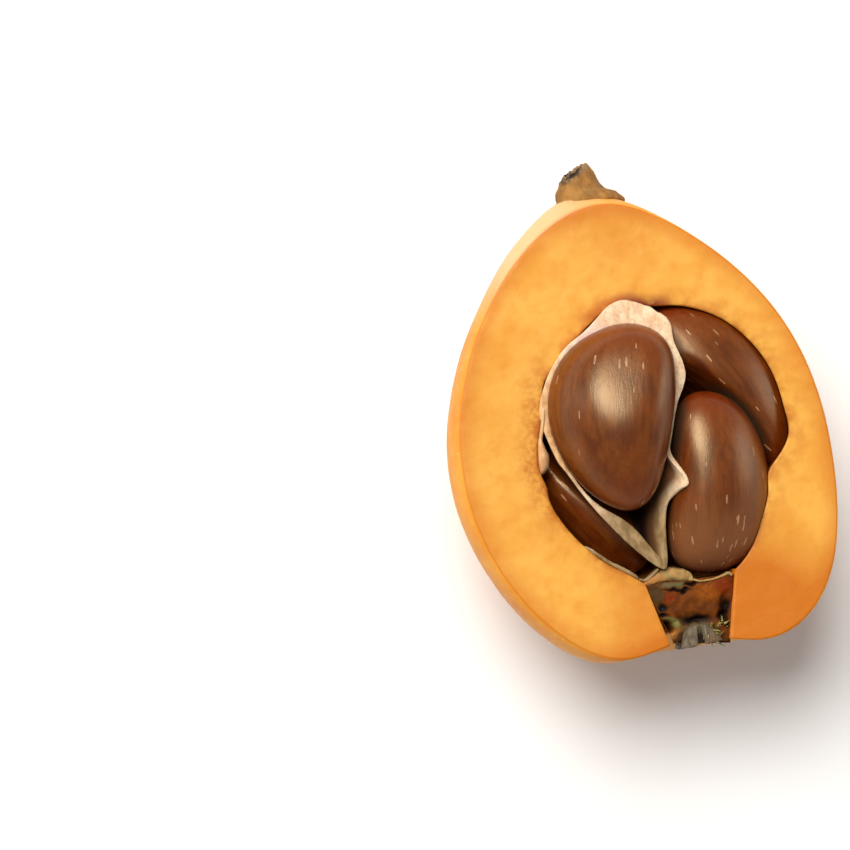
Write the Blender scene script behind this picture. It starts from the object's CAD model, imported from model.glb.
# %% [markdown]
# # A loquat cut lengthwise
# A loquat is a small orchard fruit with thin skin, juicy flesh and a few big glossy seeds. This one
# was cut from stem to calyx and lies on its round back, so the cut face and the seeds look up.
# A plain solid model, the frame, already fixes every place and size. Blender builds the finely
# shaped pieces around it and gives each one its finish.

# %% Load the frame
import math

import bpy
import numpy as np
from mathutils import Matrix, Vector, kdtree, noise


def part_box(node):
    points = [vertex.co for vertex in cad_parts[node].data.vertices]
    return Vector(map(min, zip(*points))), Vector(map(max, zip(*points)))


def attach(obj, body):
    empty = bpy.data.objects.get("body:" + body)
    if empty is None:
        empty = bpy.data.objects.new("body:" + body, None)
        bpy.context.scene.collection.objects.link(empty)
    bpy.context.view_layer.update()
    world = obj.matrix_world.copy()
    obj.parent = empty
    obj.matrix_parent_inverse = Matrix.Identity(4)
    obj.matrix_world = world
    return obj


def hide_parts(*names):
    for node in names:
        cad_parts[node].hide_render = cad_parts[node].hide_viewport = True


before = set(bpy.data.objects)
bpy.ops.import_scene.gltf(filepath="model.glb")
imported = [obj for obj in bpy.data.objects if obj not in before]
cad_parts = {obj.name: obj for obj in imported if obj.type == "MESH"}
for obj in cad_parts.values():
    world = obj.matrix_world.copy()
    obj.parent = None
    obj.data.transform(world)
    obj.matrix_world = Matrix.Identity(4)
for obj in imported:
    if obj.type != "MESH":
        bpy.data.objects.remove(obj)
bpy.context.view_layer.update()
MM = 0.001

# %% [markdown]
# ## One formula for the whole fruit
# A loquat is nearly round about its core, blunt at the calyx and drawn in a little where the
# flower sat. A lathe could turn it, but this one is fuller on its left than on its right, so the
# radius comes from two formulas blended around the core. Working in millimetres of the cut face
# keeps the numbers readable: X across, Y toward the stem, Z out of the face.

# %% The skin of the fruit
CORE_DEPTH = 4.0  # the knife passed this far above the core
HALF_LENGTH = 26.25
MIDDLE_Y = -1.5
CALYX_DIMPLE, DIMPLE_WIDTH = 5.4, 7.0
LEFT_SIDE = {"radius": 20.79, "lean": -0.061, "square": -0.113, "taper": -0.005}
RIGHT_SIDE = {"radius": 19.4, "lean": -0.103, "square": 0.016, "taper": -0.326}
CORE = np.array([0.0, MIDDLE_Y, -CORE_DEPTH])


def ring_radius(side, along):
    c = np.cos(along)
    return side["radius"] * np.sin(along) * (
        1 + side["lean"] * c + side["square"] * c**2 + side["taper"] * c**3)


def skin_profile(along, right_share):
    """Distance from the core and lengthwise place, from the stem (0) to the calyx (pi)."""
    radius = ring_radius(RIGHT_SIDE, along) * right_share + ring_radius(LEFT_SIDE, along) * (1 - right_share)
    dimple = np.where(np.cos(along) < 0, CALYX_DIMPLE * np.exp(-((radius / DIMPLE_WIDTH) ** 2)), 0)
    return radius, MIDDLE_Y + HALF_LENGTH * np.cos(along) + dimple


def skin_toward(direction):
    """Where lines from the middle of the fruit come out through its skin."""
    sideways = np.hypot(direction[..., 0], direction[..., 2])
    share = (1 + direction[..., 0] / np.maximum(sideways, 1e-9)) / 2
    wanted = np.arctan2(sideways, direction[..., 1])
    low, high = np.zeros_like(wanted), np.full_like(wanted, math.pi)
    for _ in range(32):
        middle = (low + high) / 2
        radius, y = skin_profile(middle, share)
        short = np.arctan2(radius, y - MIDDLE_Y) < wanted
        low, high = np.where(short, middle, low), np.where(short, high, middle)
    radius, y = skin_profile(middle, share)
    reach = np.hypot(radius, y - MIDDLE_Y) / np.linalg.norm(direction, axis=-1)
    return CORE + direction * reach[..., None]


def polar(angle, radius, z=0.0):
    """Points at a distance from the middle of the seed hollow."""
    return np.stack([HOLLOW_X + radius * np.cos(angle), HOLLOW_Y + radius * np.sin(angle),
                     np.broadcast_to(z, np.shape(angle))], axis=-1)


def cut_edge(angle):
    """Distance from the middle of the hollow to the edge of the cut face."""
    low, high = np.full_like(angle, 4.0), np.full_like(angle, 40.0)
    for _ in range(30):
        middle = (low + high) / 2
        line = polar(angle, middle) - CORE
        inside = np.linalg.norm(line, axis=-1) < np.linalg.norm(skin_toward(line) - CORE, axis=-1)
        low, high = np.where(inside, middle, low), np.where(inside, high, middle)
    return middle


# %% [markdown]
# ## Where the formula sits in the frame
# The formulas are written about the fruit's own core, and the frame puts its origin under the
# middle of the whole object. The flesh solid's box tells how far apart the two are, so nothing
# has to be fitted by eye.

# %% From the cut face to the frame
HOLLOW_X, HOLLOW_Y = 1.3, -2.6
stages = np.linspace(0, math.pi, 721)
leftmost = -skin_profile(stages, np.zeros_like(stages))[0].max()
end_y = min(skin_profile(stages, np.full_like(stages, s))[1].min() for s in (0.0, 0.5, 1.0))
flesh_low, flesh_high = (np.array(corner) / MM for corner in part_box("flesh_half"))
ORIGIN = np.array([flesh_low[0] - leftmost, flesh_low[1] - end_y, flesh_high[2]])
print("the cut face's origin in the frame, mm:", ORIGIN.round(2))


def to_frame(points):
    return (np.asarray(points) + ORIGIN) * MM


# %% [markdown]
# ## A helper that skins a stack of rings
# Flesh, seeds, skins and stem are all closed forms that grow from one end to the other. Each is
# a stack of rings with one point at either end, so a single helper makes every mesh, turns its
# faces outward and stores what a finish needs to know about each point, such as its distance
# from the skin.

# %% Meshes from rings
def add_object(name, data):
    made = bpy.data.objects.new(name, data)
    bpy.context.scene.collection.objects.link(made)
    return made


def full_turn(count):
    """Angles evenly spread over a whole turn."""
    return np.linspace(0, 2 * math.pi, count, endpoint=False)


def surface(name, rings, first=None, last=None, traits=None):
    """Closed mesh through rings of points in millimetres of the cut face."""
    rings = np.asarray(rings, float)
    rows, around = rings.shape[:2]
    first = rings[0].mean(0) if first is None else first
    last = rings[-1].mean(0) if last is None else last
    points = np.vstack([[first], rings.reshape(-1, 3), [last]])
    index = 1 + np.arange(rows * around).reshape(rows, around)
    after = np.roll(index, -1, axis=1)
    quads = np.stack([index[:-1], after[:-1], after[1:], index[1:]], -1).reshape(-1, 4)
    corner = points[quads]
    halves = (corner[:, [0, 1, 2]], corner[:, [0, 2, 3]])
    volume = sum(np.einsum("ij,ij->", np.cross(t[:, 0] - first, t[:, 1] - first), t[:, 2] - first)
                 for t in halves)
    faces = quads.tolist()
    faces += [(0, b, a) for a, b in zip(index[0].tolist(), after[0].tolist())]
    tip = len(points) - 1
    faces += [(tip, a, b) for a, b in zip(index[-1].tolist(), after[-1].tolist())]
    if volume < 0:
        faces = [tuple(reversed(face)) for face in faces]
    mesh = bpy.data.meshes.new(name)
    mesh.from_pydata(to_frame(points).tolist(), [], faces)
    for trait, values in (traits or {}).items():
        values = np.asarray(values, float)
        flat = values.reshape(rows * around, -1)
        ends = [values[0].reshape(around, -1).mean(0)], [values[-1].reshape(around, -1).mean(0)]
        kind, field = ("FLOAT", "value") if flat.shape[1] == 1 else ("FLOAT_VECTOR", "vector")
        layer = mesh.attributes.new(trait, kind, "POINT")
        layer.data.foreach_set(field, np.vstack([ends[0], flat, ends[1]]).ravel().astype(np.float32))
    mesh.polygons.foreach_set("use_smooth", [True] * len(mesh.polygons))
    print(name, len(mesh.polygons), "faces")
    return add_object(name, mesh)


def rough(points, size, seed=0.0):
    """Smooth random numbers from about -1 to 1, one per point, with bumps of a size in mm."""
    shift = Vector((seed, seed * 0.7, -seed))
    flat = np.asarray(points, float).reshape(-1, 3) / size
    values = [noise.noise(Vector(p) + shift) for p in flat.tolist()]
    return np.array(values).reshape(np.shape(points)[:-1])


def own(piece, slot, material, *nodes):
    """Gives a piece its finish and its place on the frame."""
    piece.data.materials.clear()
    piece.data.materials.append(material)
    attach(piece, "root")
    if nodes:
        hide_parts(*nodes)
    return piece


# %% [markdown]
# ## Finishes as sums
# A finish in Blender is a net of nodes. Written as plain sums it stays readable, so one small
# class wraps a socket: adding or multiplying it adds a Math node, and one method adds any other
# node. Colours never pass through the sums, which would turn them grey, but through Mix nodes.

# %% A socket that can be added up
class Wire:
    """A node socket that works in sums."""

    def __init__(self, tree, socket):
        self.tree, self.socket = tree, socket

    def node(self, kind, settings=None, sockets=None, out=0):
        made = self.tree.nodes.new(kind)
        for key, value in (settings or {}).items():
            setattr(made, key, value)
        for key, value in (sockets or {}).items():
            if isinstance(value, Wire):
                self.tree.links.new(value.socket, made.inputs[key])
            else:
                made.inputs[key].default_value = value
        return Wire(self.tree, made.outputs[out])

    def sum(self, operation, *values):
        return self.node("ShaderNodeMath", {"operation": operation}, dict(enumerate(values)))

    def __add__(self, other):
        return self.sum("ADD", self, other)

    def __rsub__(self, other):
        return self.sum("SUBTRACT", other, self)

    def __mul__(self, other):
        return self.sum("MULTIPLY", self, other)

    __radd__ = __add__

    def rise(self, low, high):
        """0 below low, 1 above high, and a soft step between them."""
        return self.node("ShaderNodeMapRange", {"interpolation_type": "SMOOTHSTEP"},
                         {"Value": self, "From Min": low, "From Max": high})

    def fall(self, low, high):
        return 1 - self.rise(low, high)


def tint(code):
    """Linear colour of a six-letter colour code."""
    parts = [int(code[i:i + 2], 16) / 255 for i in (0, 2, 4)]
    return tuple(p / 12.92 if p < 0.04045 else ((p + 0.055) / 1.055) ** 2.4 for p in parts) + (1.0,)


class Finish:
    """A material that is being built: its sockets, its patterns and its mixes."""

    def __init__(self, name, **shader):
        self.material = bpy.data.materials.new(name)
        self.material.use_nodes = True
        self.tree = self.material.node_tree
        self.shader = self.tree.nodes["Principled BSDF"]
        for socket, value in shader.items():
            self.shader.inputs[socket.replace("_", " ")].default_value = value
        self.start = Wire(self.tree, None)
        metres = self.start.node("ShaderNodeTexCoord", out="Object")
        self.place = self.scaled(metres, (1 / MM,) * 3)

    def scaled(self, vector, factors):
        return self.start.node("ShaderNodeVectorMath", {"operation": "MULTIPLY"}, {0: vector, 1: factors})

    def trait(self, name, vector=False):
        return self.start.node("ShaderNodeAttribute", {"attribute_name": name}, out=1 if vector else 2)

    def noise(self, size, vector=None, detail=3.0):
        """Cloudy pattern whose patches are about this many millimetres wide."""
        return self.start.node("ShaderNodeTexNoise", sockets={
            "Vector": vector or self.place, "Scale": 1 / size, "Detail": detail})

    def dots(self, size):
        """Distance to the nearest of many scattered points, in cells of this size in millimetres."""
        return self.start.node("ShaderNodeTexVoronoi", sockets={"Vector": self.place, "Scale": 1 / size})

    def layers(self, colour, *coats):
        """A colour with others over it, each given as its share and a colour code or wire."""
        for share, over in coats:
            first, second = (tint(c) if isinstance(c, str) else c for c in (colour, over))
            colour = self.start.node("ShaderNodeMix", {"data_type": "RGBA"},
                                     {0: share, 6: first, 7: second}, out=2)
        return colour

    def distance_to(self, point):
        """Millimetres to a point given in the cut face's own millimetres."""
        spot = tuple(float(v) for v in np.asarray(point, float) + ORIGIN)
        return self.start.node("ShaderNodeVectorMath", {"operation": "DISTANCE"},
                               {0: self.place, 1: spot}, out="Value")

    def put(self, socket, wire):
        self.tree.links.new(wire.socket, self.shader.inputs[socket])

    def bump(self, height, depth_mm, strength=1.0):
        bumped = self.start.node("ShaderNodeBump", sockets={
            "Strength": strength, "Distance": depth_mm * MM, "Height": height})
        self.put("Normal", bumped)


# %% [markdown]
# ## Flesh and skin in one mesh
# The half is one grown thing: hollow, cut face and skin belong together, so they are one mesh.
# A boolean cut would leave ragged triangles along the knife's edge. Instead every column of
# points runs up the wall of the hollow, across the cut face and down the skin to the middle of
# the back, which puts clean rows of points on each rounded edge. Where the blossom cup sits, the
# columns dip into a round-bottomed channel.

# %% Shape of the hollow and of the channel for the calyx
HOLLOW_RADIUS, HOLLOW_WIDEST, HOLLOW_DEPTH, HOLLOW_POWER = 14.15, -4.0, 11.0, 2.3
HOLLOW_WAVES = [(-0.2, 0.17), (-1.09, 0.26), (0.02, 0.4), (0.28, 0.33)]
PRESSED = [  # where the seeds pushed the wall out or left it behind: degrees round, spread, mm
    (353, 10, 0.75), (333, 8, -0.6), (312, 9, -0.25), (242, 8, -0.27), (188, 5, -0.3), (160, 8, -0.2),
    (142, 6, 0.3), (116, 13, -0.6), (97, 8, 0.1), (83, 9, -0.55), (53, 14, 0.3), (20, 12, -0.1)]
FULLER = [  # where the skin swells out: degrees round, spread, mm
    (185, 45, 0.45), (235, 22, 0.25), (114, 11, 0.4), (101, 8, 0.75)]
CHANNEL_LEFT, CHANNEL_RIGHT = 249.9, 288.4  # degrees round the hollow
LEAN_LEFT, LEAN_RIGHT, LEAN_SPREAD = 9.8, -11.5, 25  # degrees: how the walls of the channel draw in
CHANNEL_Z, CHANNEL_TOP, CHANNEL_END = -1.5, 5.05, 3.75  # its axis, and its radius at both ends, mm


def from_degrees(turned, place):
    """Degrees from a place on a circle, the short way round."""
    return (turned - place + 180) % 360 - 180


def bumps(turned, places):
    """Sum of soft bumps round a circle: place in degrees, spread in degrees and height of each."""
    return sum(high * np.exp(-((from_degrees(turned, place) / spread) ** 2))
               for place, spread, high in places)


def hollow_radius(angle):
    waves = sum(a * np.cos(count * angle) + b * np.sin(count * angle)
                for count, (a, b) in enumerate(HOLLOW_WAVES, 1))
    return HOLLOW_RADIUS + waves + bumps(np.degrees(angle), PRESSED)


def hollow_share(z):
    """Width of the hollow at a height, against its width at the cut face."""
    def width(level):
        squeezed = np.abs((level - HOLLOW_WIDEST) / HOLLOW_DEPTH) ** HOLLOW_POWER
        return np.maximum(1 - squeezed, 0) ** (1 / HOLLOW_POWER)
    return width(z) / width(0.0)


# %% Columns from the hollow to the skin
degrees = np.linspace(CHANNEL_RIGHT - 360, CHANNEL_LEFT, 396)
lean = (LEAN_RIGHT * np.exp(-(((degrees - degrees[0]) / LEAN_SPREAD) ** 2))
        + LEAN_LEFT * np.exp(-(((degrees - degrees[-1]) / LEAN_SPREAD) ** 2)))
inner_angle, outer_angle = np.radians(degrees), np.radians(degrees + lean)
inner = polar(inner_angle, hollow_radius(inner_angle))
outer = polar(outer_angle, cut_edge(outer_angle))

CHANNEL_SHARES = np.linspace(-0.995, 0.995, 30)[:, None]  # from the channel's left wall to its right


def channel_row(walls, radius):
    """Points over the round bottom of the channel, between the last column and the first."""
    row = (walls[-1] * (1 - CHANNEL_SHARES) + walls[0] * (1 + CHANNEL_SHARES)) / 2
    half_width = np.linalg.norm(walls[-1] - walls[0]) / 2
    beside_axis = CHANNEL_SHARES[:, 0] * half_width
    row[:, 2] = CHANNEL_Z - np.sqrt(np.maximum(radius**2 - beside_axis**2, 1.0))
    return row


inner = np.vstack([inner, channel_row(inner, CHANNEL_TOP)])
outer = np.vstack([outer, skin_toward(channel_row(outer, CHANNEL_END) - CORE)])
in_channel = np.arange(len(inner)) >= len(degrees)
print("columns:", len(inner))

# %% Rows up the hollow, over the face and down the skin
middle = np.array([HOLLOW_X, HOLLOW_Y, 0.0])
width = np.linalg.norm(outer - inner, axis=1)[:, None]
outward = (outer - inner) / width
down = np.array([0.0, 0.0, -1.0])
ROUND = 0.28  # radius of the soft edges, mm
WALL_ROWS, FACE_ROWS, SKIN_ROWS = 40, 44, 66
FIRST_SHARE = 0.014  # how far the first row of the skin is under the edge
FAR = 20.0  # stored for points that are nowhere near the rim, mm

rows, skin_share, edge_mm, rim_mm = [], [], [], []


def add_row(points, skin, edge, rim):
    rows.append(points)
    skin_share.append(np.full(len(points), skin))
    edge_mm.append(np.broadcast_to(edge, (len(points),)))
    rim_mm.append(np.broadcast_to(rim, (len(points),)))


top_tilt = np.arcsin((inner[:, 2] - ROUND - HOLLOW_WIDEST) / HOLLOW_DEPTH)
for step in range(1, WALL_ROWS + 1):
    tilt = -math.pi / 2 + (top_tilt + math.pi / 2) * step / WALL_ROWS
    z = HOLLOW_WIDEST + HOLLOW_DEPTH * np.sin(tilt)
    share = (hollow_share(z) / hollow_share(inner[:, 2]))[:, None]
    wall = middle + (inner - middle) * share
    wall[:, 2] = z
    add_row(wall, 0.0, 12.0, z - inner[:, 2])
add_row(inner + outward * 0.08 + down * 0.08, 0.0, width[:, 0], 0.0)
for share in np.arange(FACE_ROWS + 1) / FACE_ROWS:
    reach = ROUND + (width - 2 * ROUND) * share
    add_row(inner + outward * reach, 0.0, (width - reach)[:, 0], reach[:, 0])
add_row(outer - outward * 0.09 + down * 0.06, 0.6, 0.0, FAR)
start = (outer - CORE) / np.linalg.norm(outer - CORE, axis=1)[:, None]
span = np.arccos(np.clip(start @ down, -1, 1))[:, None]
for step in range(SKIN_ROWS):
    share = FIRST_SHARE + (1 - FIRST_SHARE) * (step / SKIN_ROWS)
    toward = (np.sin((1 - share) * span) * start + np.sin(share * span) * down) / np.sin(span)
    add_row(skin_toward(toward), 1.0, 0.0, FAR)
rows = np.array(rows)
skin_share, edge_mm, rim_mm = map(np.array, (skin_share, edge_mm, rim_mm))

# %% Knife marks, soft swellings and the pressed flat underneath
is_face = (skin_share == 0) & (rim_mm > 0) & ~in_channel[None, :]
rows[..., 2] += np.where(is_face, 0.05 * rough(rows, 3.0) + 0.03 * rough(rows, 1.1, 5.0) - 0.03, 0)
from_core = rows - CORE
from_core /= np.linalg.norm(from_core, axis=-1)[..., None]
swelling = 0.1 * rough(rows, 9.0, 2.0) + 0.03 * rough(rows, 3.0, 8.0) - 0.05
row_angle = np.degrees(np.arctan2(*(outer[:, :2] - [HOLLOW_X, HOLLOW_Y]).T[::-1])) % 360
swelling = swelling + bumps(row_angle, FULLER) * np.clip(1 - (-rows[..., 2] - 5) / 12, 0, 1)
rows += from_core * (swelling * (skin_share == 1) * np.clip((-rows[..., 2]) / 2, 0, 1))[..., None]
is_wall = (skin_share == 0) & (rim_mm < -0.5)
rows += (middle - rows) * (np.where(is_wall, 0.006 * rough(rows, 4.0, 3.0), 0))[..., None]
rows[..., 2] = np.maximum(rows[..., 2], -ORIGIN[2])
flesh = surface("cut_flesh", rows, first=[HOLLOW_X, HOLLOW_Y, HOLLOW_WIDEST - HOLLOW_DEPTH],
                last=[0.0, MIDDLE_Y, -ORIGIN[2]],
                traits={"skin": skin_share, "edge_mm": edge_mm, "rim_mm": rim_mm})
print("the back is pressed flat this far under the cut face, mm:", ORIGIN[2].round(2))

# %% [markdown]
# ## The finish of the flesh
# Fresh loquat flesh is wet and lets light in, pale orange in the middle and deeper toward the
# skin, the stem and the calyx. Air browns it where the seeds tore loose. The distances stored on
# the points steer those changes, and cloudy patterns break them up. The skin of the back is
# yellow orange with pale pores.

# %% Flesh and skin
juicy = Finish("juicy_flesh_and_skin", Subsurface_Weight=0.2, Subsurface_Scale=0.002,
               Subsurface_Radius=(1.0, 0.45, 0.12), Specular_IOR_Level=0.3)
skin = juicy.trait("skin")
edge = juicy.trait("edge_mm")
rim = juicy.trait("rim_mm")
cloud, mottle, grain = juicy.noise(6.0), juicy.noise(1.6), juicy.noise(0.5)
near_stem = juicy.distance_to((0.5, 24.0, 0)).fall(2.0, 11.0)
near_calyx = juicy.distance_to((1.0, -21.0, 0)).fall(5.5, 13.0)
low_right = juicy.distance_to((9.5, -23.0, 0)).fall(1.0, 12.0)
deepen = edge.fall(0.0, 2.6) * (0.3 + cloud * 0.5) + near_stem * 0.35 + near_calyx * 0.6 + low_right * 1.1
near_rim = rim.fall(0.3, 3.2) * rim.rise(-0.4, 0.1)
speckle = juicy.noise(0.5, detail=2.0).rise(0.42, 0.6)
left_rim = juicy.distance_to((-12.5, 0.0, 0)).fall(4.0, 12.0)
speckled = near_rim * (mottle.rise(0.3, 0.7) * 0.4 + left_rim * (0.2 + speckle * 0.4))
fringe = rim.fall(0.1, 0.8) * rim.rise(-0.5, 0.0) * mottle.rise(0.3, 0.6)
browned = rim.fall(0.2, 1.7) * mottle.rise(0.1, 0.45)
bruises = [(juicy.distance_to((x, y, 0)).fall(0.8, wide) * browned, code) for x, y, wide, code in (
    (-3.4, 13.6, 3.0, "b4580f"), (-0.6, 13.4, 2.6, "b45c14"), (2.6, 12.9, 4.0, "7a2c08"))]
wall_colour = juicy.layers("b96a22", (mottle.rise(0.35, 0.7), "84420f"))
flesh_colour = juicy.layers(
    "eaab47", (cloud.rise(0.35, 0.68), "e49e38"), (mottle.rise(0.4, 0.75) * 0.45, "dc8b25"),
    (deepen, "c97010"), (speckled, "bd6c1a"), (fringe * 0.6, "a8510c"), *bruises,
    (rim.fall(-1.2, -0.1), wall_colour), (edge.fall(0.02, 0.35) * 0.8, "c66a0e"))
pores = juicy.dots(1.1).fall(0.07, 0.16) * juicy.noise(3.0).rise(0.35, 0.6)
by_stem = juicy.distance_to((-8.0, 22.0, -2.5)).fall(3.0, 12.0)
skin_colour = juicy.layers(
    "eda032", (cloud.rise(0.3, 0.7), "e48c1c"), (juicy.noise(1.2).rise(0.45, 0.8) * 0.4, "efb050"),
    (pores * 0.7, "f2d08e"), (by_stem * 0.85, "e8bf8c"))
juicy.put("Base Color", juicy.layers(flesh_colour, (skin.rise(0.3, 0.9), skin_colour)))
juicy.put("Roughness", 0.4 + mottle * 0.16 + skin * 0.06)
juicy.bump(grain * 0.5 + mottle * 0.7 + pores * 0.3 * skin, 0.12, 0.45)
own(flesh, "flesh", juicy.material, "flesh_half")

# %% [markdown]
# ## Four seeds
# Each seed grew pressed against the others, so each is an egg with a taper, a bow and perhaps a
# flat side. The same egg formula makes them all from a handful of numbers. Its points also carry
# their place in the seed's own directions, so that the fine grain of the coat follows the seed's
# length wherever the seed points.

# %% The egg formula
SEEDS = {
    "seed_large": {"at": (-4.0, 1.35, 1.0), "turn": -13, "half": (6.4, 9.9, 6.6), "pitch": -4.5,
                   "lean": 0.2, "taper": 0.18, "swell": 0.06, "bend": 2.0, "power": 2.0,
                   "flats": [(-0.12, 0.2, 1.0, 6.5)], "reach": 0.8},
    "seed_right": {"at": (6.7, -7.75, -1.4), "turn": -9.1, "half": (5.35, 9.7, 5.4), "pitch": 10,
                   "lean": -0.28, "taper": -0.15, "swell": 0.27, "bend": -1.6, "power": 2.1,
                   "flats": [], "reach": 0.0},
    "seed_back": {"at": (10.2, 3.0, -4.0), "turn": 26, "half": (6.1, 10.8, 5.6), "pitch": 4, "lean": -0.3,
                  "taper": 0, "swell": 0, "bend": -2.0, "power": 2.3,
                  "flats": [(-0.8, -0.2, 0.5, 2.65)], "reach": 0.0},
    "seed_left": {"at": (-6.5, -7.5, -6.6), "turn": 31, "half": (4.6, 8.6, 4.9), "pitch": 4, "lean": 0.1,
                  "taper": 0, "swell": 0, "bend": -0.6, "power": 2.1,
                  "flats": [(0.7, 0.15, 0.7, 2.6)], "reach": 0.0},
}
FLAT_SHARPNESS = 12


def against_wall(points, gap=0.07):
    """Flattens whatever would reach into the wall of the hollow."""
    aside = points[..., :2] - [HOLLOW_X, HOLLOW_Y]
    wall_reach = hollow_radius(np.arctan2(aside[..., 1], aside[..., 0]))
    limit = wall_reach * hollow_share(np.minimum(points[..., 2], 0)) - gap
    shorten = np.minimum(1, limit / np.linalg.norm(aside, axis=-1))
    pressed = points.copy()
    pressed[..., :2] = [HOLLOW_X, HOLLOW_Y] + aside * shorten[..., None]
    return pressed


def egg_outline(along, power):
    """Across and lengthwise shares of a rounded outline, from one end (0) to the other (pi)."""
    across_share, lengthwise = np.sin(along), np.cos(along)
    rounding = (np.abs(across_share) ** power + np.abs(lengthwise) ** power) ** (-1 / power)
    return across_share * rounding, lengthwise * rounding


def turned_by(x, y, degrees_round):
    """Two coordinates after a turn in their plane, from the first axis toward the second."""
    turn = math.radians(degrees_round)
    return x * math.cos(turn) - y * math.sin(turn), x * math.sin(turn) + y * math.cos(turn)


def seed_rings(seed, rows=96, columns=120):
    """Rings of one seed in the cut face's millimetres, and the same points in the seed's own."""
    along = np.linspace(0, math.pi, rows + 2)[:, None]
    around = full_turn(columns)[None, :]
    ring, lengthwise = egg_outline(along, seed["power"])
    girth = 1 + seed["taper"] * lengthwise + seed["swell"] * lengthwise**2
    half = seed["half"]
    own_points = np.stack([
        half[0] * ring * girth * np.cos(around),
        half[1] * lengthwise + 0 * around,
        half[2] * ring * (1 + seed["taper"] * lengthwise) * np.sin(around)], axis=-1)
    for *toward, distance in seed["flats"]:
        toward = np.array(toward) / np.linalg.norm(toward)
        over = np.maximum(own_points @ toward, 0) / distance
        own_points *= ((1 + over**FLAT_SHARPNESS) ** (-1 / FLAT_SHARPNESS))[..., None]
    own_points[..., 0] += seed["bend"] * lengthwise**2
    own_points *= 1 + 0.006 * rough(own_points, 3.5, half[0])[..., None]
    own_points[..., 0] += seed["lean"] * np.maximum(own_points[..., 2], 0)
    x, y, z = np.moveaxis(own_points, -1, 0)
    y, z = turned_by(y, z, seed["pitch"])
    x, y = turned_by(x, y, seed["turn"])
    return against_wall(np.stack([x, y, z], -1) + seed["at"]), own_points


# %% [markdown]
# ## The seed coat
# The coat is smooth and chestnut brown, redder toward the ends, with a fine grain along the seed
# that stretches every highlight. Patterns read the seed's own directions, squeezed lengthwise,
# so that round blotches become streaks. Where two seeds touch, the coat is dark and matt, so every
# point stores how close the other seeds are. The seed on the right is dusty toward its low end.

# %% Seed coat
coat = Finish("chestnut_seed_coat", Specular_IOR_Level=0.95, Specular_Tint=(1.0, 0.77, 0.45, 1.0))
own_place = coat.trait("grain", vector=True)
streaky = coat.scaled(own_place, (1.0, 0.12, 1.0))
streak = coat.noise(0.8, streaky, detail=4.0)
fine_streak = coat.noise(0.16, streaky, detail=2.0)
blotch = coat.noise(4.5, own_place)
ends = coat.trait("end_share").rise(0.6, 1.0)
dull = coat.trait("dull")
crease = coat.trait("crease_mm").fall(0.1, 1.3)
coat.put("Base Color", coat.layers(
    "561f02", (blotch.rise(0.35, 0.65), "6e2e04"), (streak.rise(0.35, 0.7) * 0.6, "7e3d08"),
    (fine_streak.rise(0.5, 0.75) * 0.5, "361202"), (ends * 0.6, "782704"),
    (dull * (0.4 + blotch * 0.5), "86502c"), (crease * 0.85, "200c04")))
coat.put("Roughness", 0.25 + streak * 0.13 + fine_streak * 0.07 + dull * 0.25 + crease * 0.35)
coat.bump(streak * 0.8 + fine_streak * 0.9, 0.05, 0.3)

# %% Shapes of the seeds and how close they come to each other
grown = {name: seed_rings(seed) for name, seed in SEEDS.items()}
nearby = {}
for name, (points, _) in grown.items():
    cloud_of_points = points.reshape(-1, 3).tolist()
    nearby[name] = kdtree.KDTree(len(cloud_of_points))
    for number, spot in enumerate(cloud_of_points):
        nearby[name].insert(spot, number)
    nearby[name].balance()

seeds = {}
for name, (points, own_points) in grown.items():
    shown = points[1:-1]
    lengthwise = own_points[1:-1, :, 1] / SEEDS[name]["half"][1]
    sideways = own_points[1:-1, :, 0] / SEEDS[name]["half"][0]
    low_end = np.clip(-0.1 - 1.8 * lengthwise, 0, 1)
    spots = {"seed_right": 0.1 + 1.6 * low_end, "seed_large": 0.1 + 0.6 * np.clip(sideways, 0, 1)}
    crease_mm = np.full(low_end.shape, 9.0)
    for other in [key for key in SEEDS if key != name]:
        away = [nearby[other].find(spot)[2] for spot in shown.reshape(-1, 3).tolist()]
        crease_mm = np.minimum(crease_mm, np.reshape(away, low_end.shape) - SEEDS[other]["reach"])
    piece = surface(name.replace("seed", "glossy_seed"), shown, points[0, 0], points[-1, 0], traits={
        "grain": own_points[1:-1], "end_share": np.abs(lengthwise), "crease_mm": crease_mm,
        "dull": low_end * (name == "seed_right"), "scatter": spots.get(name, 0.12 + 0 * low_end)})
    seeds[name] = own(piece, "seed", coat.material, name)

# %% [markdown]
# ## The papery pocket
# The largest seed lies in a pocket of thin seed-box skin, torn open by the knife. Its torn edge is
# what shows: broad and pale at the top, a thin line beside the seeds, a small flap over the seed on
# the right and a folded ribbon that runs down to the core. Drawing that edge point by point would
# be tedious and would drift off the seed. It is worked out instead: the seed's own outline, an egg
# shape for the empty end, and a few soft bumps where the skin is wider or torn outward. Below the
# edge the skin follows the seed like a bowl.

# %% Smooth curves through a few points
def curve(points, count):
    """Points evenly spread over a smooth curve through the given ones."""
    points = np.asarray(points, float)
    points = np.vstack([2 * points[0] - points[1], points, 2 * points[-1] - points[-2]])
    spans = len(points) - 3
    place = np.linspace(0, spans, count)
    step = np.minimum(place.astype(int), spans - 1)
    part = (place - step)[:, None]
    before, here, there, beyond = (points[step + shift] for shift in range(4))
    return 0.5 * (2 * here + (there - before) * part
                  + (2 * before - 5 * here + 4 * there - beyond) * part**2
                  + (3 * (here - there) + beyond - before) * part**3)


# %% Outline of the large seed and of the open end of the pocket
POCKET_MIDDLE, POCKET_BOTTOM = np.array([-3.6, 1.0]), -6.5
POCKET_EGG = {"at": (-3.88, -1.45), "turn": -5.2, "half": (6.45, 13.9), "taper": 0.65, "swell": 0.14,
              "bend": 3.59, "power": 1.7}


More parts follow.
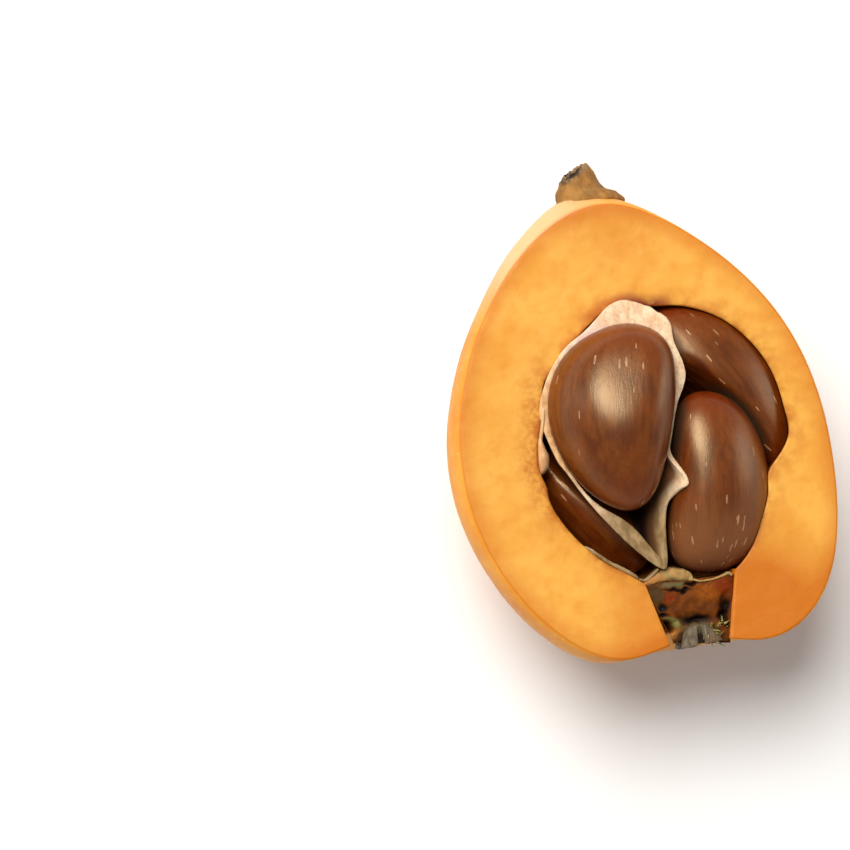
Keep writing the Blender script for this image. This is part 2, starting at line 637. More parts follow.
def body_radius(angle):
    """The pocket without its tears, an egg with a long point toward the core."""
    ring, lengthwise = egg_outline(np.linspace(0, 2 * math.pi, 1440), POCKET_EGG["power"])
    girth = 1 + POCKET_EGG["taper"] * lengthwise + POCKET_EGG["swell"] * lengthwise**2
    x = POCKET_EGG["half"][0] * ring * girth + POCKET_EGG["bend"] * lengthwise**2
    x, y = turned_by(x, POCKET_EGG["half"][1] * lengthwise, POCKET_EGG["turn"])
    x, y = x + POCKET_EGG["at"][0] - POCKET_MIDDLE[0], y + POCKET_EGG["at"][1] - POCKET_MIDDLE[1]
    toward = np.arctan2(y, x)
    order = np.argsort(toward)
    return np.interp(angle, toward[order], np.hypot(x, y)[order], period=2 * math.pi)


def seed_radius(angle, step=3):
    """The widest outline of the large seed, seen from above, found in steps of a few degrees."""
    points = seed_rings(SEEDS["seed_large"], 120, 240)[0].reshape(-1, 3)
    x, y = (points[:, :2] - POCKET_MIDDLE).T
    steps = 360 // step
    sector = np.round(np.degrees(np.arctan2(y, x)) / step).astype(int) % steps
    reach = np.array([np.hypot(x, y)[sector == number].max() for number in range(steps)])
    reach = (np.roll(reach, 1) + 2 * reach + np.roll(reach, -1)) / 4
    return np.interp(angle, np.radians(step * np.arange(steps)), reach, period=2 * math.pi)


# %% The torn edge and the walls below it
# Each list holds degrees round the pocket, spread in degrees and height in mm.
# How much wider the skin is where it hugs the seed:
RIM_WIDTH = [(163, 20, 0.4), (75, 13, 1.95), (56, 12, 1.3), (48, 5, 0.5), (21, 13, 1.0)]
FLAP = [(-53, 5.5, 1.85), (-61, 7, 1.2)]  # how far the torn flap sticks out
RIBBON = [(-97, 13, 1.3)]  # extra width of the folded ribbon toward the core
SLANT = [(-76, 10, 1.2), (-58, 9, 0.5)]  # how far the right wall leans in under the seed
RAISED = [(-54, 9, 2.1)]  # how high the flap stands up
THICK, BOTTOM_THICK = 0.28, 0.3  # of the wall and of the bottom, mm
TUCKED_IN, LEAST_RIM, LEAST_RIBBON = 0.14, 0.56, 0.34  # mm: how far under the seed, and widths
LOW_END, LOOSE_TO, HUGS_FROM = -95, 42, 60  # degrees: the low end, and how far the loose part reaches

angle = np.linspace(-math.pi, math.pi, 480, endpoint=False)
turned = np.degrees(angle)
around_middle = np.stack([np.cos(angle), np.sin(angle)], -1)
from_low_end = np.abs(from_degrees(turned, LOW_END))
share = np.clip((from_low_end - LOOSE_TO) / (HUGS_FROM - LOOSE_TO), 0, 1)
hug = share * share * (3 - 2 * share)  # 1 where the skin hugs the seed, 0 toward the core
seed_edge = seed_radius(angle) - TUCKED_IN
base = hug * (seed_edge + LEAST_RIM) + (1 - hug) * body_radius(angle)
wider = bumps(turned, RIM_WIDTH) * hug
crumple = rough(np.c_[around_middle * 9, angle], 0.8, 9.0) * np.clip(wider, 0, 1.0)
frayed = rough(np.c_[around_middle * 9, angle], 0.35, 4.0) * np.clip(wider, 0.15, 0.7)
torn = base + wider + bumps(turned, FLAP) + 0.12 * crumple + 0.1 * frayed
base_xy = POCKET_MIDDLE + around_middle * base[:, None]
torn_xy = POCKET_MIDDLE + around_middle * torn[:, None]
tangent = np.roll(base_xy, -1, axis=0) - np.roll(base_xy, 1, axis=0)
inward = np.stack([-tangent[:, 1], tangent[:, 0]], -1) / np.linalg.norm(tangent, axis=1)[:, None]
facing = -np.einsum("ij,ij->i", inward, around_middle)
skin_width = hug * (torn - seed_edge) * facing + (1 - hug) * (LEAST_RIBBON + bumps(turned, RIBBON))
slant = bumps(turned, SLANT)
edge_z = (0.75 + 0.8 * np.cos(angle - 0.2) + bumps(turned, RAISED)
          + 0.1 * rough(np.c_[torn_xy, angle], 0.9, 4.0))
print("rim width, mm:", skin_width.min().round(2), "to", skin_width.max().round(2))


def pocket_ring(sink_share, inside):
    """One level of the pocket's wall, from the torn edge (0) to its bottom (1)."""
    fade = np.clip(1 - 3.2 * sink_share, 0, 1) ** 2
    thick = THICK + (skin_width - THICK) * fade
    bottom = POCKET_BOTTOM + BOTTOM_THICK * inside
    z = edge_z + (bottom - edge_z) * math.sin(math.pi / 2 * sink_share)
    lean_in = slant * (1 - np.exp(-(edge_z - z) / 1.2))
    xy = base_xy + (torn_xy - base_xy) * fade + inward * (thick * inside + lean_in)[:, None]
    shrink = math.cos(math.pi / 2 * sink_share)
    return np.c_[POCKET_MIDDLE + (xy - POCKET_MIDDLE) * shrink, z]


levels = np.linspace(0, 0.985, 40) ** 1.4
lip = [pocket_ring(0, share) + [0, 0, 0.07 * math.sin(math.pi * share)]
       for share in (0.08, 0.3, 0.5, 0.7, 0.92)]
ripple = [0.06 * rough(row, 0.6, 3.0) + 0.03 * rough(row, 0.25, 7.0) for row in lip]
lip = [row + np.c_[0 * up, 0 * up, up * np.clip(skin_width, 0.2, 1)] for row, up in zip(lip, ripple)]
outer_wall = [pocket_ring(level, 0) for level in levels[::-1]]
pocket_rows = outer_wall + lip + [pocket_ring(level, 1) for level in levels]
depth_below = np.array([edge_z - row[:, 2] for row in pocket_rows])
pocket = surface("papery_pocket", pocket_rows, [*POCKET_MIDDLE, POCKET_BOTTOM],
                 [*POCKET_MIDDLE, POCKET_BOTTOM + BOTTOM_THICK], traits={"depth_mm": depth_below})

# %% [markdown]
# ## The lining of the hollow
# The rest of the seed-box skin clings to the flesh as a torn lining. On the real fruit it shows as
# pale scraps at the left edge of the hollow and as a thin pale line where it is seen edge-on.
# One ribbon helper makes all of these strips and the tough core tissue: a path along the top of
# the strip, with the width and the height of the strip at every point.

# %% Ribbons
def boxy(wave, power):
    """A sine or cosine whose round tops are made flatter, for a section with soft corners."""
    return np.sign(wave) * np.abs(wave) ** power


def ribbon(name, path, around=20, jag=0.05, seed=0.0):
    """Closed strip along rows of x, y, top z, width and height in mm."""
    count = 90
    line = curve(path, count)
    along = np.gradient(line[:, :2], axis=0)
    side = np.stack([-along[:, 1], along[:, 0]], -1) / np.linalg.norm(along, axis=1)[:, None]
    turn = full_turn(around)
    wide, high = boxy(np.cos(turn), 0.6), boxy(np.sin(turn), 0.6)
    taper = np.sqrt(np.clip(np.minimum(np.arange(count), np.arange(count)[::-1]) / 4 + 0.1, 0, 1))[:, None]
    width, height = np.maximum(line[:, 3:4], 0.05) * taper, line[:, 4:5]
    xy = line[:, None, :2] + side[:, None] * (wide * width / 2)[..., None]
    z = line[:, 2:3] - height / 2 + high * height / 2
    points = np.concatenate([xy, z[..., None]], -1)
    grains = ((0.5, seed), (0.5, seed + 3), (0.7, seed + 6))
    points += jag * np.stack([rough(points, size, start) for size, start in grains], -1)
    return surface(name, points, traits={"depth_mm": line[:, 2:3] - points[..., 2]})


LINING_TOP = [  # angle round the hollow, height of the torn top and width there
    (148, -0.6, 0.2), (152, 0.08, 0.25), (158, 0.1, 0.3), (166, 0.05, 0.3), (170, 0.12, 0.6),
    (174, 0.15, 1.0), (179, 0.05, 0.95), (182, -0.3, 0.5), (185, -1.6, 0.3), (200, -2.6, 0.25),
    (216, -1.6, 0.25), (222, -0.3, 0.22), (226, 0.0, 0.25), (234, 0.03, 0.3), (244, 0.02, 0.3),
    (247, -0.1, 0.25)]
LINING_DEPTH, LINING_THICK = 8.0, 0.2
top_line = curve(LINING_TOP, 260)
sunk = np.linspace(1, 0, 26)  # from the lining's low edge to its torn top
lining_rows = []
for angle_deg, top, strip in top_line:
    level = top - LINING_DEPTH * sunk
    here = np.full(sunk.shape, math.radians(angle_deg))
    reach = hollow_radius(here) * hollow_share(np.minimum(level, 0))
    thick = LINING_THICK + (max(strip, LINING_THICK) - LINING_THICK) * np.exp(-sunk * 9)
    lean_in = 0.07 + 0.15 * sunk
    outer_side = polar(here, reach - lean_in, level)
    inner_side = polar(here, reach - lean_in - thick, level)[::-1]
    lining_rows.append(np.vstack([outer_side, inner_side]))
lining_rows = np.array(lining_rows)
lining_rows += 0.05 * rough(lining_rows, 0.8, 6.0)[..., None]
lining = surface("torn_lining", lining_rows,
                 traits={"depth_mm": np.maximum(-lining_rows[..., 2], 0) * 0.6})
low_strip = ribbon("lining_by_the_calyx", [
    (1.35, -17.3, 0.05, 0.3, 0.8), (2.1, -17.62, 0.0, 0.25, 0.8), (3.4, -17.72, 0.0, 0.22, 0.8),
    (4.5, -17.6, 0.0, 0.25, 0.8), (5.2, -17.45, 0.0, 0.35, 0.8), (5.6, -17.75, 0.0, 0.3, 0.8)], seed=2.0)
left_strip = ribbon("lining_by_the_core", [
    (-4.3, -16.1, 0.0, 0.3, 1.2), (-3.7, -16.35, 0.05, 0.35, 1.2), (-3.1, -16.1, 0.1, 0.35, 1.4),
    (-2.5, -15.75, 0.2, 0.3, 1.6), (-2.05, -15.45, 0.25, 0.3, 1.6)], seed=4.0)
core_tissue = ribbon("tough_core_tissue", [
    (-3.9, -16.75, -0.1, 0.5, 2.6), (-3.0, -16.5, 0.0, 1.0, 3.0), (-2.0, -16.3, 0.1, 1.45, 3.6),
    (-1.0, -16.3, 0.15, 1.65, 4.2), (0.0, -16.5, 0.15, 1.6, 4.2), (0.8, -16.85, 0.05, 1.2, 3.6),
    (1.4, -17.3, -0.1, 0.5, 2.6)], jag=0.16, around=32, seed=7.0)

# %% [markdown]
# ## The finish of the skins
# Dry seed-box skin is matt and thin enough to glow. It is cream and slightly pink where it stands
# free, more orange where flesh shines through it, and stained olive brown further down.

# %% Papery skin
papery = Finish("papery_seed_skin", Roughness=0.7, Specular_IOR_Level=0.3, Subsurface_Weight=0.15,
                Subsurface_Scale=0.001, Subsurface_Radius=(1.0, 0.6, 0.35))
below = papery.trait("depth_mm")
fibre = papery.noise(0.7, papery.scaled(papery.place, (1.0, 0.5, 0.5)))
dust = papery.noise(0.3, detail=1.0).rise(0.58, 0.7)
rosy = papery.distance_to((-4.4, 9.8, 0)).fall(0.8, 3.4)
to_left = papery.distance_to((-11.5, 1.0, 0)).fall(3.0, 10.0)
to_core = papery.distance_to((-3.5, -14.0, 0)).fall(4.0, 9.0)
streaks = fibre.rise(0.35, 0.65)
papery.put("Base Color", papery.layers(
    "f0d2ac", (fibre.rise(0.35, 0.7), "dfb48a"), (dust * 0.45, "b98e74"), (rosy * 0.6, "e3c4bd"),
    (to_left * 0.8, papery.layers("e3af74", (streaks, "c78a50"))),
    (to_core, papery.layers("a5875c", (streaks, "80643a"))),
    (below.rise(0.1, 1.4), "6c4626"), (below.rise(1.4, 3.6), "2a150a")))
papery.bump(fibre + papery.noise(0.25) * 0.4, 0.07, 0.45)
own(pocket, "membrane", papery.material, "membrane_pocket")
own(lining, "membrane", papery.material, "membrane_lining")
own(left_strip, "membrane", papery.material)

tough = Finish("tough_core_tissue", Roughness=0.7, Specular_IOR_Level=0.25)
knots = tough.noise(0.9)
tough.put("Base Color", tough.layers(
    "b0854a", (knots.rise(0.35, 0.65), "9a8450"), (tough.noise(1.6).rise(0.5, 0.7) * 0.7, "8a5d28"),
    (tough.distance_to((-3.4, -16.9, 0)).fall(0.6, 2.4), "b0763c"),
    (tough.trait("depth_mm").rise(0.4, 1.4), "43290f")))
tough.bump(knots + tough.noise(0.3) * 0.5, 0.12, 0.6)
own(core_tissue, "membrane", tough.material, "core_tissue")
own(low_strip, "membrane", tough.material)

# %% [markdown]
# ## The blossom cup in section
# At the calyx end the knife went through the dried blossom cup. The cut shows brown tissue, a grey
# seam under the core, two dark pits beside the walls and a dark cleft above the dry sepals. A
# sculpted block would hide the logic, so the block's top is a plane with a short list of bumps and
# pits, and each one also leaves its mark for the finish.

# %% Bumps and pits of the cut blossom cup
CUP_CORNERS = np.array([[-3.9, -16.8], [5.88, -17.65], [4.0, -24.7], [-1.9, -23.55]])
MARKS = [  # x, y, half sizes along and across, turn in degrees, height in mm, tone
    (-2.9, -18.1, 0.9, 1.2, 0, -0.05, "olive"), (-0.7, -17.5, 1.5, 0.4, -8, 0.15, "grey"),
    (1.15, -17.65, 0.7, 0.2, 15, -0.45, "dark"), (-0.5, -18.1, 1.3, 0.13, -10, -0.3, "dark"),
    (0.3, -18.3, 0.6, 0.2, 15, -0.3, "dark"), (-1.4, -18.65, 0.7, 0.5, -10, 0.0, "red"),
    (4.5, -18.7, 1.0, 1.0, 0, 0.05, "red"), (2.7, -18.9, 1.8, 0.9, -10, 0.08, "amber"),
    (-2.5, -19.6, 0.5, 0.5, 0, -0.6, "slate"), (-2.6, -20.4, 0.5, 0.25, -20, -0.7, "dark"),
    (-1.9, -20.95, 0.7, 0.3, -25, 0.1, "green"), (-1.35, -21.7, 0.45, 0.45, 0, 0.1, "green"),
    (-2.4, -21.55, 0.65, 0.68, 0, -1.6, "dark"), (-1.9, -22.75, 1.0, 0.5, 20, 0.1, "flesh"),
    (-1.9, -23.4, 1.0, 0.8, 0, 0.0, "flesh"), (0.7, -21.6, 2.0, 0.6, -10, -0.7, "shade"),
    (0.8, -21.5, 1.4, 0.3, -10, -0.3, "dark"), (4.2, -20.9, 0.6, 1.3, -10, -0.8, "dark"),
    (3.75, -21.9, 0.5, 0.55, -10, -0.9, "slate"), (4.1, -22.7, 0.3, 0.5, 0, -0.6, "dark"),
    (0.6, -22.5, 1.6, 0.6, -10, 0.0, "grey"), (0.6, -23.6, 2.6, 1.2, -10, -0.9, "shade")]
TONES = {  # from the first laid on to the last
    "amber": "864408", "olive": "4a3216", "red": "762a02", "flesh": "bf7c38", "shade": "33231a",
    "grey": "665a38", "green": "766f3a", "slate": "16181b", "dark": "0e0503"}

across = np.linspace(0, 1, 110)[None, :]
along = np.linspace(0, 1, 90)[:, None]
left_side = CUP_CORNERS[0] + (CUP_CORNERS[3] - CUP_CORNERS[0]) * along[..., None]
right_side = CUP_CORNERS[1] + (CUP_CORNERS[2] - CUP_CORNERS[1]) * along[..., None]
cup_xy = left_side + (right_side - left_side) * across[..., None]
cup_z = np.full(cup_xy.shape[:2], -0.22)
marked = {tone: np.zeros(cup_z.shape) for tone in TONES}
wander = np.stack([rough(np.dstack([cup_xy, cup_z]), 0.8, s) for s in (1.0, 5.0)], -1)
for x, y, half_x, half_y, turned, height, tone in MARKS:
    offset = cup_xy + 0.3 * wander - [x, y]
    along_mark, across_mark = turned_by(offset[..., 0], offset[..., 1], -turned)
    weight = np.exp(-(((along_mark / half_x) ** 2 + (across_mark / half_y) ** 2) ** 1.2))
    cup_z += height * weight
    marked[tone] = np.maximum(marked[tone], weight)
cup_z += 0.07 * rough(np.dstack([cup_xy, cup_z]), 0.7) + 0.03 * rough(np.dstack([cup_xy, cup_z]), 0.3, 3.0)
close_to_wall = np.minimum(across, 1 - across)
cup_z -= 0.25 * np.exp(-close_to_wall / 0.02) + 0.9 * np.exp(-(1 - along) / 0.05)
bottom_turn = np.linspace(0, math.pi, 42)[1:-1]
cup_rows = []
for row_xy, row_z in zip(cup_xy, cup_z):
    middle_xy, half_xy = (row_xy[0] + row_xy[-1]) / 2, (row_xy[-1] - row_xy[0]) / 2
    under = np.c_[middle_xy + np.cos(bottom_turn)[:, None] * half_xy,
                  -0.6 - (np.linalg.norm(half_xy) - 0.1) * np.sin(bottom_turn)]
    cup_rows.append(np.vstack([np.c_[row_xy, row_z], under]))
unmarked = ((0, 0), (0, len(bottom_turn)))
cup = surface("cut_blossom_cup", cup_rows,
              traits={tone: np.pad(weight, unmarked) for tone, weight in marked.items()})

# %% Cup tissue
brown_cup = Finish("cut_blossom_tissue", Specular_IOR_Level=0.1)
lumps = brown_cup.noise(0.8)
stains = [(brown_cup.trait(tone).rise(0.0, 0.9), code) for tone, code in TONES.items()]
brown_cup.put("Base Color", brown_cup.layers(
    "562804", (lumps.rise(0.35, 0.65), "703808"), *stains,
    (brown_cup.noise(0.4).rise(0.5, 0.7) * 0.4, "341806")))
brown_cup.put("Roughness", 0.5 + lumps * 0.2)
brown_cup.bump(lumps + brown_cup.noise(0.25) * 0.4, 0.08, 0.5)
own(cup, "dry_calyx", brown_cup.material, "calyx_cup")

# %% [markdown]
# ## Sepals, curled in and cut
# Five dry sepals close the cup from its rim. Each is a thin plate that curls toward the middle,
# built once and turned to its place; the knife took the tops of the upper two, which is why
# their points stop at one level.

# %% Five sepals
SEPAL_ANGLES = (-90, -18, -162, 54, 126)
CUP_AXIS = np.array([0.85, -24.3, -1.6])


def sepal_rings(degrees_round, wobble):
    share = np.linspace(0, 1, 30)[:, None]
    turn = full_turn(26)[None, :]
    radius = 2.3 - 1.5 * share
    rise = 0.1 + 2.0 * np.sin(1.9 * share)
    slope = np.gradient(np.c_[radius[:, 0], rise[:, 0]], axis=0)
    slope /= np.linalg.norm(slope, axis=1)[:, None]
    wide = boxy(np.cos(turn), 0.7) * (0.42 * radius + 0.15)
    thick = np.sin(turn) * (0.24 - 0.08 * share)
    out = radius + slope[:, 1:] * thick + 0.1 * np.sin(4 * wide + wobble)
    up_axis = rise - slope[:, :1] * thick
    x, z = turned_by(out, wide, degrees_round)
    points = np.stack([x, up_axis, z], -1) + CUP_AXIS
    points += 0.06 * rough(points, 0.5, wobble)[..., None]
    points[..., 2] = np.minimum(points[..., 2], -0.12 + 0.05 * rough(points, 0.4, 2.0))
    return points


dry = Finish("dry_sepals", Roughness=0.75)
dry_grain = dry.noise(0.5, dry.scaled(dry.place, (1.4, 0.4, 1.4)))
dry.put("Base Color", dry.layers(
    "51442f", (dry_grain.rise(0.35, 0.7), "75664e"), (dry.noise(1.3).rise(0.5, 0.75), "6a4426")))
dry.bump(dry_grain, 0.1, 0.7)
for number, degrees_round in enumerate(SEPAL_ANGLES, 1):
    sepal = surface(f"dry_sepal_{number}", sepal_rings(degrees_round, number * 1.7))
    own(sepal, "dry_calyx", dry.material, f"sepal_{number}")

# %% [markdown]
# ## Small things that repeat
# Dry stamens in the cup, bristles on the stem and pale flecks on the seeds repeat by the dozen.
# Modelling them one at a time would be endless and a texture would stay flat, so one node tree
# scatters a small shape over a piece: it picks points on the faces, turns the shape to the
# surface, varies its size and puts real copies in place.

# %% A tree that scatters small shapes
def scatter_tree(name, shape):
    tree = bpy.data.node_groups.new(name, "GeometryNodeTree")
    add = tree.interface.new_socket
    add("Geometry", in_out="INPUT", socket_type="NodeSocketGeometry")
    for label in ("Copies per square mm", "Length in mm", "Width in mm", "Tilt"):
        add(label, in_out="INPUT", socket_type="NodeSocketFloat")
    add("Seed", in_out="INPUT", socket_type="NodeSocketInt")
    add("Along", in_out="INPUT", socket_type="NodeSocketVector")
    add("Finish", in_out="INPUT", socket_type="NodeSocketMaterial")
    add("Geometry", in_out="OUTPUT", socket_type="NodeSocketGeometry")
    start = Wire(tree, None)
    given = tree.nodes.new("NodeGroupInput")
    give = {socket.name: Wire(tree, socket) for socket in given.outputs if socket.name}
    chosen = start.node("GeometryNodeInputNamedAttribute", {"data_type": "FLOAT"}, {"Name": "scatter"})
    density = give["Copies per square mm"] * 1e6 * chosen
    spread = start.node("GeometryNodeDistributePointsOnFaces", sockets={
        "Mesh": give["Geometry"], "Density": density, "Seed": give["Seed"]})
    rotation = Wire(tree, spread.socket.node.outputs["Rotation"])
    aligned = start.node("FunctionNodeAlignRotationToVector", {"axis": "Y", "pivot_axis": "Z"},
                         {"Rotation": rotation, "Vector": give["Along"]})
    lean = start.node("FunctionNodeRandomValue", {"data_type": "FLOAT_VECTOR"}, {
        0: (-1, -1, -1), 1: (1, 1, 1), "Seed": give["Seed"]})
    lean = start.node("ShaderNodeVectorMath", {"operation": "SCALE"}, {0: lean, "Scale": give["Tilt"]})
    tipped = start.node("FunctionNodeEulerToRotation", sockets={0: lean})
    turned = start.node("FunctionNodeRotateRotation", {"rotation_space": "LOCAL"},
                        {"Rotation": aligned, "Rotate By": tipped})
    varied = start.node("FunctionNodeRandomValue", {"data_type": "FLOAT"},
                        {2: 0.45, 3: 1.25, "Seed": 7}, out=1)
    wide, long = give["Width in mm"] * MM * varied, give["Length in mm"] * MM * varied
    if shape == "fleck":
        form = start.node("GeometryNodeMeshUVSphere", sockets={"Segments": 8, "Rings": 6, "Radius": 0.5})
        scale = start.node("ShaderNodeCombineXYZ", sockets={0: wide, 1: long, 2: wide * 0.2})
    else:
        bow = start.node("GeometryNodeCurvePrimitiveBezierSegment", sockets={
            "Resolution": 5, "Start": (0, 0, 0), "Start Handle": (0, 0, 0.4), "End Handle": (0.1, 0.1, 0.7),
            "End": (0.35, 0.2, 1)})
        ring = start.node("GeometryNodeCurvePrimitiveCircle", sockets={"Resolution": 5, "Radius": 0.5})
        thin = 1.1 - start.node("GeometryNodeSplineParameter")
        slim = start.sum("DIVIDE", give["Width in mm"], give["Length in mm"])
        form = start.node("GeometryNodeCurveToMesh", sockets={
            "Curve": bow, "Profile Curve": ring, "Scale": thin * slim, "Fill Caps": True})
        scale = start.node("ShaderNodeCombineXYZ", sockets={0: long, 1: long, 2: long})
    copies = start.node("GeometryNodeInstanceOnPoints", sockets={
        "Points": spread, "Instance": form, "Rotation": turned, "Scale": scale})
    real = start.node("GeometryNodeRealizeInstances", sockets={0: copies})
    painted = start.node("GeometryNodeSetMaterial", sockets={0: real, "Material": give["Finish"]})
    result = tree.nodes.new("NodeGroupOutput")
    tree.links.new(painted.socket, result.inputs[0])
    return tree


def scatter(name, host, tree, finish, **values):
    """Runs the tree over a copy of the host mesh and keeps the copies as a plain mesh."""
    carrier = add_object(name + "_carrier", host.data.copy())
    modifier = carrier.modifiers.new("scatter", "NODES")
    modifier.node_group = tree
    sockets = {item.name: item.identifier for item in tree.interface.items_tree if item.in_out == "INPUT"}
    modifier[sockets["Finish"]] = finish.material
    for label, value in values.items():
        modifier[sockets[label.replace("_", " ")]] = value
    bpy.context.view_layer.update()
    shown = carrier.evaluated_get(bpy.context.evaluated_depsgraph_get())
    mesh = bpy.data.meshes.new_from_object(shown)
    bpy.data.objects.remove(carrier)
    print(name, len(mesh.polygons), "faces")
    return add_object(name, mesh)

# %% [markdown]
# ## The stem stub
# A short woody stub is left of the stem. It spreads into a collar where it meets the skin, leans a
# little and ends in a dark torn tip. It is a stack of rings again: the lowest ones follow the skin
# of the fruit, so that the collar sits on it without a gap, and the upper ones level out. Ridges
# along it and a hollow pith finish the form.

# %% Stem
STEM_Z = -4.3
STEM_FOOT_Y = 26.0  # about where the stem leaves the fruit
STEM_ROWS = [  # height over the skin, how far it follows the skin, middle x, half width, half depth
    (-0.15, 1.0, -0.3, 3.5, 3.0), (0.2, 1.0, -0.35, 3.8, 3.2), (0.6, 1.0, -0.36, 3.75, 3.1),
    (0.95, 1.0, -0.5, 3.3, 2.8), (1.05, 0.6, -1.05, 2.75, 2.5), (1.45, 0.2, -1.18, 2.5, 2.2),
    (2.0, 0.0, -1.2, 2.22, 2.0), (2.6, 0.0, -1.2, 1.95, 1.8), (3.1, 0.0, -1.22, 1.75, 1.65),
    (3.45, 0.0, -1.2, 1.4, 1.3), (3.5, 0.0, -1.2, 1.0, 0.95), (3.2, 0.0, -1.2, 0.65, 0.6),
    (3.0, 0.0, -1.2, 0.25, 0.25)]
stem_line = curve(STEM_ROWS, 70)
stem_turn = full_turn(96)
stem_rows = []
for height, follow, mid_x, half_x, half_z in stem_line:
    ridge = 1 + 0.025 * np.sin(7 * stem_turn + 0.5 * height) + 0.012 * np.sin(12 * stem_turn - 0.4 * height)
    x = mid_x + half_x * ridge * np.cos(stem_turn)
    z = STEM_Z + half_z * ridge * np.sin(stem_turn)
    on_skin = skin_toward(np.stack([x, np.full_like(x, STEM_FOOT_Y), z + CORE_DEPTH], -1))[:, 1]
    top = skin_toward(np.array([[mid_x, STEM_FOOT_Y, STEM_Z + CORE_DEPTH]]))[0, 1]
    stem_rows.append(np.stack([x, height + top + (on_skin - top) * follow, z], -1))
stem_rows = np.array(stem_rows)
torn = np.clip((stem_line[:, 0] - 1.6) / 1.6, 0, 1)[:, None]
stem_rows[..., 1] += torn**2 * (0.35 * rough(stem_rows, 0.7) + 0.2 * rough(stem_rows, 0.3, 4.0))
stem_rows[..., 1] += torn * 0.42 * (stem_rows[..., 0] - stem_line[:, 2:3])
stem_rows += 0.06 * rough(stem_rows, 0.9, 2.0)[..., None]
tip_share = np.repeat(np.clip((stem_line[:, 0] - 2.5) / 0.7, 0, 1)[:, None], len(stem_turn), axis=1)
tip_share[np.argmax(stem_line[:, 0]) + 1:] = 1.0  # the pith too
stem = surface("stem_stub_wood", stem_rows, traits={
    "tip": tip_share, "scatter": np.broadcast_to((stem_line[:, 0:1] < 3.0) * 1.0, tip_share.shape)})

woody = Finish("woody_stem", Roughness=0.85, Specular_IOR_Level=0.2)
lengthwise = woody.scaled(woody.place, (1.6, 0.45, 1.6))
bark = woody.noise(1.3, lengthwise, detail=4.0)
crumbs = woody.noise(0.55, detail=2.0)
right_edge = woody.distance_to((2.5, 26.6, -4.0)).fall(1.0, 2.6)
dark_side = woody.distance_to((-2.1, 28.4, -3.4)).fall(1.1, 2.1)
burnt = woody.layers("1e150e", (crumbs.rise(0.46, 0.62), "846a4c"))
woody.put("Base Color", woody.layers(
    "8f6230", (bark.rise(0.35, 0.7), "ab7a3e"), (woody.noise(1.8).rise(0.5, 0.8) * 0.7, "7c633a"),
    (right_edge * 0.6, "7d6a4a"), (woody.trait("tip").rise(0.1, 0.8) * 0.5, "8a7660"),
    (dark_side, burnt)))
woody.bump(bark + crumbs * 0.6, 0.1, 0.5)
own(stem, "stem", woody.material, "stem_stub")

# %% Bristles, stamens and flecks
bristle_tree, fleck_tree = scatter_tree("scatter_strands", "strand"), scatter_tree("scatter_flecks", "fleck")
bristle = Finish("pale_bristles", Roughness=0.7)
bristle.put("Base Color", bristle.layers("b59460", (bristle.noise(0.6), "8c6c3e")))
bristles = scatter("stem_bristles", stem, bristle_tree, bristle, Copies_per_square_mm=4.0, Length_in_mm=0.3,
                   Width_in_mm=0.035, Tilt=0.7, Seed=3)
own(bristles, "stem", bristle.material)

bed_turn = full_turn(24)
bed_rows = [np.stack([2.7 + 0.85 * reach * np.cos(bed_turn), -23.1 + 1.1 * reach * np.sin(bed_turn),
                      np.full(24, z)], -1) for reach, z in ((0.4, -0.85), (0.9, -1.15), (0.75, -1.45))]
stamen_bed = surface("stamen_bed", bed_rows, traits={"scatter": np.ones((3, 24))})
olive = Finish("olive_stamens", Roughness=0.6)
olive.put("Base Color", olive.layers("a89c5c", (olive.noise(0.7).rise(0.35, 0.65), "7a6c30")))
stamens = scatter("dry_stamens", stamen_bed, bristle_tree, olive, Copies_per_square_mm=14.0, Length_in_mm=1.2,
                  Width_in_mm=0.38, Tilt=0.8, Seed=11)
bpy.data.objects.remove(stamen_bed)
own(stamens, "dry_calyx", olive.material, "stamen_tuft")

fleck = Finish("pale_seed_flecks", Roughness=0.45)
fleck.put("Base Color", fleck.layers("966842", (fleck.noise(0.8).rise(0.35, 0.7), "b98c62")))
for number, (name, piece) in enumerate(seeds.items()):
    turn = math.radians(SEEDS[name]["turn"])
    flecks = scatter(name.replace("seed", "seed_flecks"), piece, fleck_tree, fleck,
                     Copies_per_square_mm=0.2, Length_in_mm=1.05, Width_in_mm=0.22, Tilt=0.0,
                     Seed=21 + number, Along=(-math.sin(turn), math.cos(turn), 0.0))
    own(flecks, "seed", fleck.material)

# %% [markdown]
# ## Floor, light and camera
# The fruit lies on a plain pale sheet under one big soft lamp on the stem side, with two weak lamps
# at its sides and white surroundings that fill the shadows, as in a small product studio. The
# camera looks down on the cut face from a little to the left, through a long lens.

# %% Floor
bpy.ops.mesh.primitive_plane_add(size=4.0)
floor = bpy.context.object
floor.name = "studio_floor"
paper = Finish("pale_paper", Roughness=0.6)
paper.put("Base Color", paper.layers("f4f2ef", (paper.noise(40.0).rise(0.3, 0.7), "f7f6f4")))
floor.data.materials.append(paper.material)

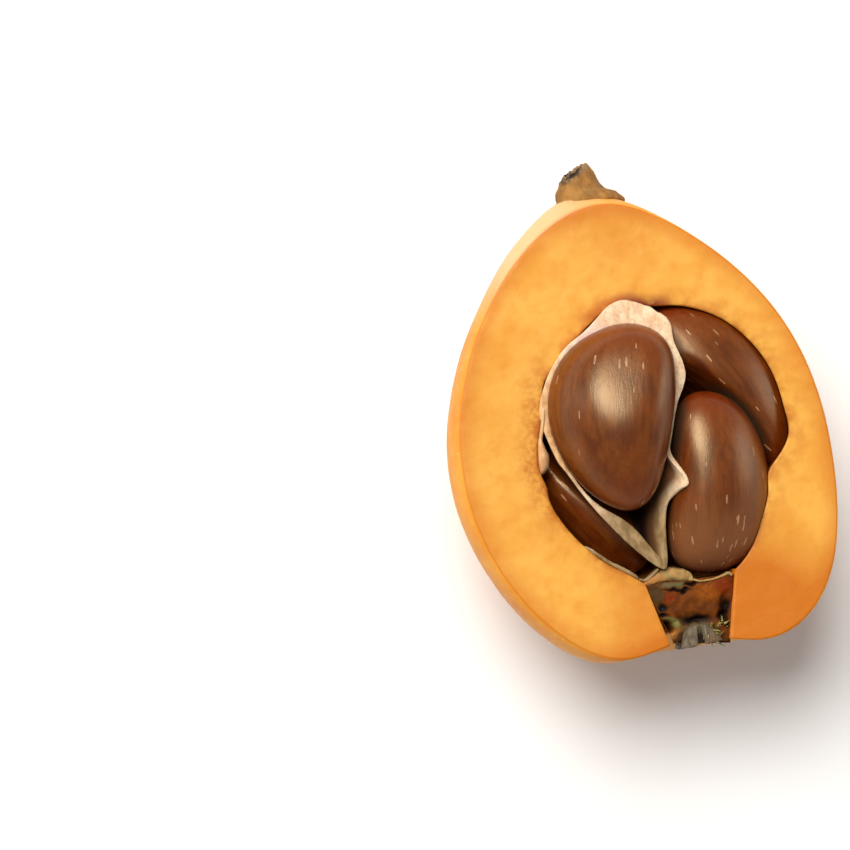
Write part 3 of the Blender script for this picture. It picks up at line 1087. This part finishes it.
# %% Camera
TILT = math.radians(11)  # between the view and a line straight down
aside = Vector((-0.99, -0.137, 0)).normalized() * math.sin(TILT)
back = Vector((aside.x, aside.y, math.cos(TILT)))
ROLL = math.radians(12.1)
DISTANCE = 320.0
VIEW_WIDTH = 90.04  # how much the lens takes in from side to side at the cut face
BESIDE = Vector((23.46, 0.32))  # how far right and above the view's centre the face's origin is
ahead = math.sqrt(DISTANCE**2 - BESIDE.length_squared)  # along the middle of the view
stemward = Vector((0, 1, 0))
stemward = (stemward - back * stemward.dot(back)).normalized()
sideward = stemward.cross(back)
up = stemward * math.cos(ROLL) + sideward * math.sin(ROLL)
right = sideward * math.cos(ROLL) - stemward * math.sin(ROLL)
aim = Matrix((right, up, back)).transposed()
to_face = Vector((BESIDE.x, BESIDE.y, -ahead)).normalized()
turn_aside = to_face.rotation_difference(Vector((0, 0, -1))).to_matrix()
camera = add_object("camera", bpy.data.cameras.new("camera"))
camera.data.lens = ahead / VIEW_WIDTH * camera.data.sensor_width
face_middle = Vector(to_frame([0, 0, 0]))
camera.matrix_world = (Matrix.Translation(face_middle + back * DISTANCE * MM)
                       @ (aim @ turn_aside).to_4x4())
camera.data.clip_start, camera.data.clip_end = 0.01, 20
bpy.context.scene.camera = camera
print("lens, mm:", round(camera.data.lens, 1))

# %% Light
def lamp(name, toward, distance, size, power, colour=(1, 1, 1)):
    light = bpy.data.lights.new(name, "AREA")
    light.shape, light.size, light.energy, light.color = "DISK", size, power, colour
    made = add_object(name, light)
    direction = Vector(toward).normalized()
    made.location = face_middle + direction * distance
    made.rotation_mode = "QUATERNION"
    made.rotation_quaternion = direction.to_track_quat("Z", "Y")


lamp("big_soft_lamp", (-0.25, 0.46, 0.85), 1.5, 0.95, 28, (1.0, 0.985, 0.96))
lamp("left_card", (-0.9, 0.4, 0.35), 1.2, 0.6, 1.2)
lamp("right_card", (0.93, 0.02, 0.25), 1.2, 0.6, 2.2, (0.94, 0.97, 1.0))
world = bpy.data.worlds.new("white_room")
world.use_nodes = True
world.node_tree.nodes["Background"].inputs["Color"].default_value = (0.96, 0.98, 1.0, 1)
world.node_tree.nodes["Background"].inputs["Strength"].default_value = 0.26
bpy.context.scene.world = world
bpy.context.scene.view_settings.view_transform = "Standard"

# %% Sizes side by side
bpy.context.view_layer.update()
